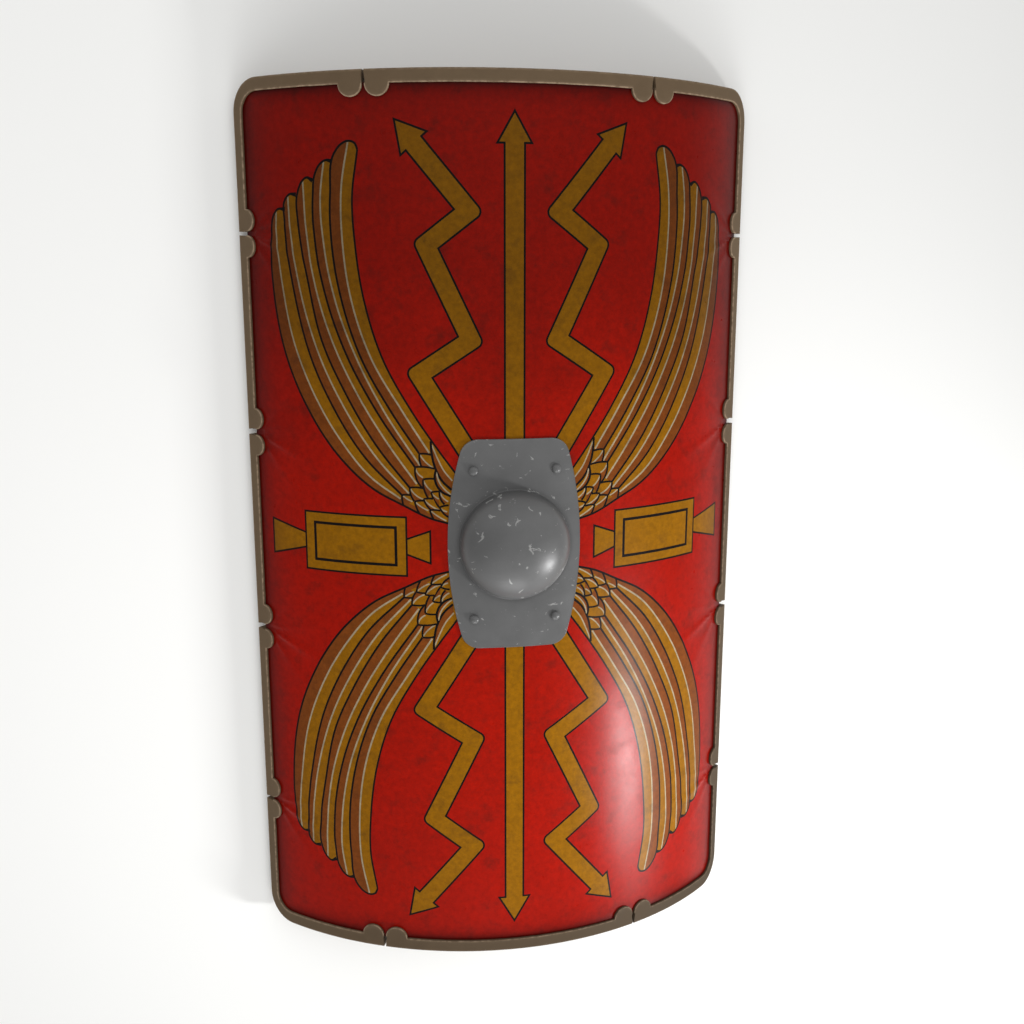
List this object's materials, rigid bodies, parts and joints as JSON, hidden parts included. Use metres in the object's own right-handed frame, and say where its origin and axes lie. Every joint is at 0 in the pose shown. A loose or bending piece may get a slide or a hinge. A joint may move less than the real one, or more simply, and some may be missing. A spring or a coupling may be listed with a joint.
{
  "type": "roman scutum shield",
  "caption": "Curved rectangular infantry shield with a painted hide face, an iron boss plate, edge binding in lengths and a wooden grip behind.",
  "frame": {"origin": "on the ground, under the middle of the shield as it lies on its two long sides with the boss up", "axes": "+Y along the shield's height towards its upper edge, +X across it to the right as seen from its front, +Z out of the painted face"},
  "size_m": [0.6176, 1.06, 0.1787],
  "materials": {
    "board_wood": "bare glued plywood, dark with age",
    "painted_hide": "hide painted red with ochre figures, half gloss",
    "boss_iron": "dull forged iron with worn bright patches",
    "grip_wood": "wood polished by handling",
    "binding_bronze": "dull brown bronze with lighter worn edges"
  },
  "bodies": {
    "root": {"board": "board_wood", "painted_cover": "painted_hide", "boss": "boss_iron", "boss_rivet_upper_left": "boss_iron", "boss_rivet_upper_right": "boss_iron", "boss_rivet_lower_left": "boss_iron", "boss_rivet_lower_right": "boss_iron", "grip": "grip_wood", "binding_top": "binding_bronze", "binding_bottom": "binding_bronze", "binding_corner_top_left": "binding_bronze", "binding_corner_top_right": "binding_bronze", "binding_corner_bottom_left": "binding_bronze", "binding_corner_bottom_right": "binding_bronze", "binding_left_upper": "binding_bronze", "binding_left_middle": "binding_bronze", "binding_left_lower": "binding_bronze", "binding_right_upper": "binding_bronze", "binding_right_middle": "binding_bronze", "binding_right_lower": "binding_bronze"}
  },
  "joints": []
}
